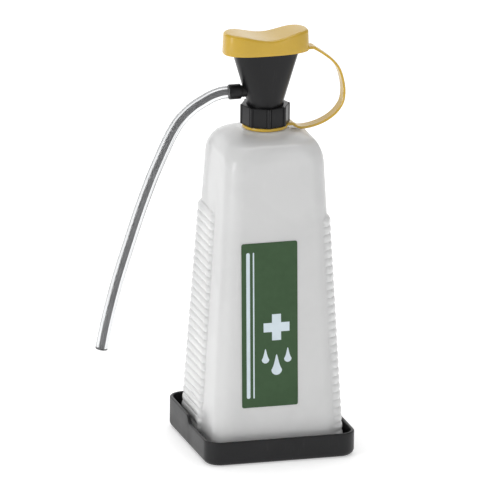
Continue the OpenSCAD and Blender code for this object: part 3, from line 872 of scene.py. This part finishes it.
class EYEWASH_OT_eyecup(bpy.types.Operator):
    """Black eyecup: a flange, a stem, a funnel with a lip, and the outlet spigot"""

    bl_idname = "eyewash.add_eyecup"
    bl_label = "Eyecup"

    def execute(self, context):
        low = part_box("eyecup")[0]
        collar_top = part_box("screw_collar")[1].z
        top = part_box("dust_cap")[1].z - RIM_DOWN
        lip, flare = top - 9 * MM, top - 12.5 * MM
        stem = (11.45 * MM, 11.45 * MM)
        bore = 4.3
        angles = turns(88)
        rings = [circle(r * MM, low.z + z * MM, angles) for r, z in (
            (bore, 0), (12.6, 0), (12.9, 0.3), (12.9, 1.0), (12.6, 1.2), (11.7, 1.2), (11.5, 1.5),
            (11.5, 3.0))]

        def body(inset, share):
            """Funnel between the stem and the lip, as a share of the way up."""
            return oval(inside(between(stem, CUP_FLARE, share), inset),
                        mix(collar_top + 0.6 * MM, flare, share), mix(1, 0.74, share))

        rings += [body(0, t / 12) for t in range(13)]
        rings += [oval(between(CUP_FLARE, CUP_RIM, t), mix(flare, lip, t))
                  for t in (0.2, 0.5, 0.8, 0.93, 1)]
        rings += [oval(CUP_RIM, lip + z * MM) for z in (0.3, 2)]
        rings += [oval(inside(CUP_RIM, d * MM), lambda x: saddle(x) - RIM_DOWN - h * MM)
                  for d, h in ((0, 0.7), (0.15, 0.2), (0.5, 0), (1.1, 0), (1.45, 0.2), (1.6, 0.7))]
        rim_inside, flare_inside = inside(CUP_RIM, CUP_WALL), inside(CUP_FLARE, CUP_WALL)
        rings += [oval(rim_inside, lip + z * MM) for z in (3, 1.6)]
        rings += [oval(between(flare_inside, rim_inside, t), mix(flare, lip + 1.6 * MM, t))
                  for t in (0.8, 0.4, 0)]
        rings += [body(CUP_WALL, t / 8) for t in range(7, 1, -1)]
        floor = collar_top + 2.4 * MM
        rings += [circle(r * MM, floor + z * MM, angles) for r, z in (
            (9.9, 1.0), (9.6, 0.4), (9.0, 0.05), (8.6, 0), (bore, 0), (bore, -3), (bore, -5.2))]
        cup = loft("eyecup_bowl", rings, closed=False)
        sleeve_low, sleeve_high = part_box("hose_sleeve")
        z = (sleeve_low.z + sleeve_high.z) / 2
        round_ = turns(40)
        rings = [along_x(circle(r * MM, 0, round_), sleeve_high.x + d * MM, z) for r, d in (
            (2.5, 7), (4.6, 6.6), (4.0, 5.2), (3.8, 4), (3.8, 0.3), (3.6, 0), (2.5, 0), (2.5, 7))]
        spigot = loft("outlet_spigot", rings, closed=False)
        dress(join(cup, spigot), "cup", black_satin(), ["eyecup"])
        return {"FINISHED"}


class EYEWASH_OT_sleeve(bpy.types.Operator):
    """Rubber sleeve that grips the hose on the outlet, with round ends"""

    bl_idname = "eyewash.add_sleeve"
    bl_label = "Hose Sleeve"

    def execute(self, context):
        low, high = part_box("hose_sleeve")
        z = (low.z + high.z) / 2
        length = (high.x - low.x) / MM
        rings = [along_x(circle(r * MM, 0, turns(48)), high.x - d * MM, z) for r, d in (
            (2.55, 0), (4.4, 0), (4.7, 0.1), (4.88, 0.5), (4.88, 2.5), (4.88, length - 2.5),
            (4.88, length - 0.5), (4.75, length - 0.15), (4.5, length), (2.55, length),
            (2.55, 0))]
        dress(loft("sleeve_rubber", rings, closed=False), "cup",
              black_satin(), ["hose_sleeve"])
        return {"FINISHED"}


def lug(name, x0, x1, z0, thick):
    """Flat lug from x0 to x1 that the strap grows from."""
    w, edge = STRAP_HALF, 0.35 * MM
    outline = [(-w + edge, 0), (w - edge, 0), (w, edge), (w, thick - edge), (w - edge, thick),
               (-w + edge, thick), (-w, thick - edge), (-w, edge)]
    return loft(name, [[Vector((x, y, z0 + z)) for y, z in outline] for x in (x0, x1)])


class EYEWASH_OT_tether(bpy.types.Operator):
    """Yellow ring round the neck and the strap that loops from it to the dust cap"""

    bl_idname = "eyewash.add_tether"
    bl_label = "Tether"

    def execute(self, context):
        low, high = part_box("tether_ring")
        thick = high.z - low.z
        edge = 0.35 * MM
        angles = turns(96)
        rings = [circle(COLLAR_BORE_R + r * MM, low.z + z, angles) for r, z in (
            (0, edge), (0.25, 0), (0.9, 0), (1.1, 0.1 * MM), (1.2, edge), (1.2, thick - edge),
            (1.1, thick - 0.1 * MM), (0.9, thick), (0.25, thick), (0, thick - edge), (0, edge))]
        ring = loft("tether_ring_moulding", rings, closed=False)
        dress(join(ring, lug("ring_lug", 14.0 * MM, high.x, low.z, thick)), "tether",
              yellow_gloss(), ["tether_ring"])

        cap_low, cap_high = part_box("dust_cap")
        a = Vector((high.x, 0, (low.z + high.z) / 2))
        b = Vector((cap_high.x, 0, cap_low.z + thick / 2))
        count = 5 * (len(STRAP_ROUTE) - 1)
        path = [a.lerp(b, share) + Vector((bow, 0, 0))
                for bow, share in smooth_rows(STRAP_ROUTE, count)]
        rings = []
        for i, p in enumerate(path):
            if i in (0, count):
                along = Vector((1 if i == 0 else -1, 0, 0))
            else:
                along = (path[i + 1] - path[i - 1]).normalized()
            n = Vector((along.z, 0, -along.x))
            swell = max(0, 1 - min(i, count - i) / 5)
            th = (0.75 + 0.2 * swell) * MM
            w, e = STRAP_HALF, 0.3 * MM
            section = [(th, -w + e), (th, w - e), (th - e, w), (-th + e, w), (-th, w - e),
                       (-th, -w + e), (-th + e, -w), (th - e, -w)]
            rings.append([p + n * o + Vector((0, y, 0)) for o, y in section])
        strap = dress(loft("tether_strap_band", rings), None,
                      yellow_gloss(), ["tether_strap"])
        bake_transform(strap)
        return {"FINISHED"}


class EYEWASH_OT_cap(bpy.types.Operator):
    """Yellow dust cap with a saddle-shaped top, a round edge and its lug"""

    bl_idname = "eyewash.add_cap"
    bl_label = "Dust Cap"

    def execute(self, context):
        low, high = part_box("dust_cap")
        top, bottom = high.z, low.z
        draft, wall, round_ = 0.5 * MM, CAP_WALL, 1.6 * MM

        def side(inset, z):
            t = draft * (top - z) / (top - bottom)
            return oval(inside(CAP_TOP, inset - t), z)

        def roof(inset, down, share=1.0):
            length, width = inside(CAP_TOP, inset)
            return oval((length * share, width * share), lambda x: saddle(x) - down)

        def shares(down, inset):
            return [roof(inset, down, t) for t in (
                0.02, 0.1, 0.2, 0.3, 0.4, 0.5, 0.6, 0.7, 0.8, 0.9, 0.96)]

        rings = shares(0, round_)
        rings += [roof(round_ * (1 - s), round_ * (1 - c)) for s, c in arc(6)]
        skirt_top, skirt_foot = roof(0, round_), side(0, bottom + 0.4 * MM)
        rings += [[mix(p, q, t) for p, q in zip(skirt_top, skirt_foot)] for t in (0.35, 0.7)]
        inner_foot, inner_top = side(wall, bottom + 0.3 * MM), roof(wall, wall + 0.5 * MM)
        rings += [skirt_foot, side(0.12 * MM, bottom + 0.1 * MM), side(0.4 * MM, bottom),
                  side(wall - 0.3 * MM, bottom), inner_foot]
        rings += [[mix(p, q, t) for p, q in zip(inner_foot, inner_top)] for t in (0.5, 1)]
        rings += [roof(wall + 0.5 * MM, wall)]
        rings += shares(wall, wall + 0.5 * MM)[::-1]
        cap = loft("dust_cap_moulding", rings)
        lip = lug("cap_lug", CAP_TOP[0] - 1 * MM, high.x, bottom, 1.9 * MM)
        dress(join(cap, lip), "cap", yellow_gloss(), ["dust_cap"])
        return {"FINISHED"}


class EYEWASH_OT_fittings(bpy.types.Operator):
    """Finishes of the gasket, the spray nozzle, the dip tube and the hose barb"""

    bl_idname = "eyewash.finish_fittings"
    bl_label = "Fittings"

    def execute(self, context):
        repaint("neck_gasket", gasket_white())
        repaint("spray_nozzle", nozzle_grey())
        repaint("dip_tube", dip_tube_clear())
        repaint("hose_barb", black_satin())
        return {"FINISHED"}


# ---- Stage ----


class EYEWASH_OT_camera(bpy.types.Operator):
    """Long-lens camera, a little left of the front and above the bottle"""

    bl_idname = "eyewash.add_camera"
    bl_label = "Camera"

    def execute(self, context):
        turn, rise, roll = (math.radians(v) for v in (16.02, 17.14, 0.594))
        distance, lens = 12.293, 1383
        right = Vector((math.cos(turn), -math.sin(turn), 0))
        up = Vector((math.sin(turn) * math.sin(rise), math.cos(turn) * math.sin(rise),
                     math.cos(rise)))
        back = right.cross(up)
        right, up = (right * math.cos(roll) + up * math.sin(roll),
                     up * math.cos(roll) - right * math.sin(roll))
        target = Vector((0, 0, 0.11)) - 0.0085 * right + 0.0164 * up
        bpy.ops.object.select_all(action="DESELECT")
        bpy.ops.object.camera_add()
        camera = context.object
        camera.name = "camera"
        place = Matrix((right, up, back)).transposed().to_4x4()
        place.translation = target + back * distance
        camera.matrix_world = place
        camera.data.lens = lens
        camera.data.sensor_width = 36
        camera.data.clip_end = 200
        context.scene.camera = camera
        return {"FINISHED"}


def soft_light(name, place, size, power, aim_height=0.12):
    """A rectangular soft light that points from its place at the bottle's axis."""
    aim = Vector((0, 0, aim_height))
    bpy.ops.object.select_all(action="DESELECT")
    bpy.ops.object.light_add(type="AREA", location=place)
    light = bpy.context.object
    light.name = name
    light.rotation_euler = (Vector(place) - aim).to_track_quat("Z", "Y").to_euler()
    light.data.shape = "RECTANGLE"
    light.data.size, light.data.size_y = size
    light.data.energy = power


class EYEWASH_OT_stage(bpy.types.Operator):
    """Plain pale floor and plain soft studio light"""

    bl_idname = "eyewash.add_stage"
    bl_label = "Stage"

    def execute(self, context):
        bpy.ops.object.select_all(action="DESELECT")
        bpy.ops.mesh.primitive_plane_add(size=60, location=(0, 0, -0.0001))
        floor = context.object
        floor.name = "floor"
        paint = bpy.data.materials.new("floor_paint")
        paint.use_nodes = True
        skin = paint.node_tree.nodes["Principled BSDF"]
        skin.inputs["Base Color"].default_value = (0.93, 0.93, 0.93, 1)
        skin.inputs["Roughness"].default_value = 0.7
        skin.inputs["Specular IOR Level"].default_value = 0.2
        skin.inputs["Emission Color"].default_value = (1, 1, 1, 1)
        skin.inputs["Emission Strength"].default_value = 0.42
        floor.data.materials.append(paint)
        world = context.scene.world or bpy.data.worlds.new("studio")
        context.scene.world = world
        world.use_nodes = True
        sky = world.node_tree.nodes["Background"]
        sky.inputs["Color"].default_value = (1, 1, 1, 1)
        sky.inputs["Strength"].default_value = 0.46
        soft_light("key_light", (-1.9, -0.75, 0.6), (0.35, 1.2), 10)
        soft_light("fill_light", (1.0, -2.4, 0.9), (0.25, 1.8), 4)
        soft_light("top_light", (0, 0.3, 2.2), (1.4, 1.2), 13)
        soft_light("back_light", (0, 2.4, 0.85), (3.0, 1.4), 12, aim_height=0.2)
        context.scene.view_settings.view_transform = "Standard"
        return {"FINISHED"}


class EYEWASH_PT_panel(bpy.types.Panel):
    """Lists the settings and pieces of the eyewash bottle"""

    bl_label = "Eyewash Bottle"
    bl_idname = "EYEWASH_PT_panel"
    bl_space_type = "VIEW_3D"
    bl_region_type = "UI"
    bl_category = "Eyewash"

    def draw(self, context):
        for settings in (context.scene.eyewash_sizes, context.scene.eyewash_colours):
            box = self.layout.box()
            for name in settings.bl_rna.properties.keys():
                if name not in ("rna_type", "name"):
                    box.prop(settings, name)
        for operator in PIECES:
            self.layout.operator(operator.bl_idname)


PIECES = [
    EYEWASH_OT_camera, EYEWASH_OT_hose, EYEWASH_OT_stage, EYEWASH_OT_tray, EYEWASH_OT_bottle,
    EYEWASH_OT_label, EYEWASH_OT_collar, EYEWASH_OT_eyecup, EYEWASH_OT_sleeve,
    EYEWASH_OT_tether, EYEWASH_OT_cap, EYEWASH_OT_fittings,
]
CLASSES = [EyewashColours, EyewashSizes, *PIECES, EYEWASH_PT_panel]


def register():
    for cls in CLASSES:
        bpy.utils.register_class(cls)
    bpy.types.Scene.eyewash_colours = bpy.props.PointerProperty(type=EyewashColours)
    bpy.types.Scene.eyewash_sizes = bpy.props.PointerProperty(type=EyewashSizes)


def unregister():
    del bpy.types.Scene.eyewash_sizes
    del bpy.types.Scene.eyewash_colours
    for cls in reversed(CLASSES):
        bpy.utils.unregister_class(cls)


def main():
    register()
    for operator in PIECES:
        group, name = operator.bl_idname.split(".")
        getattr(getattr(bpy.ops, group), name)()


if __name__ == "__main__":
    main()
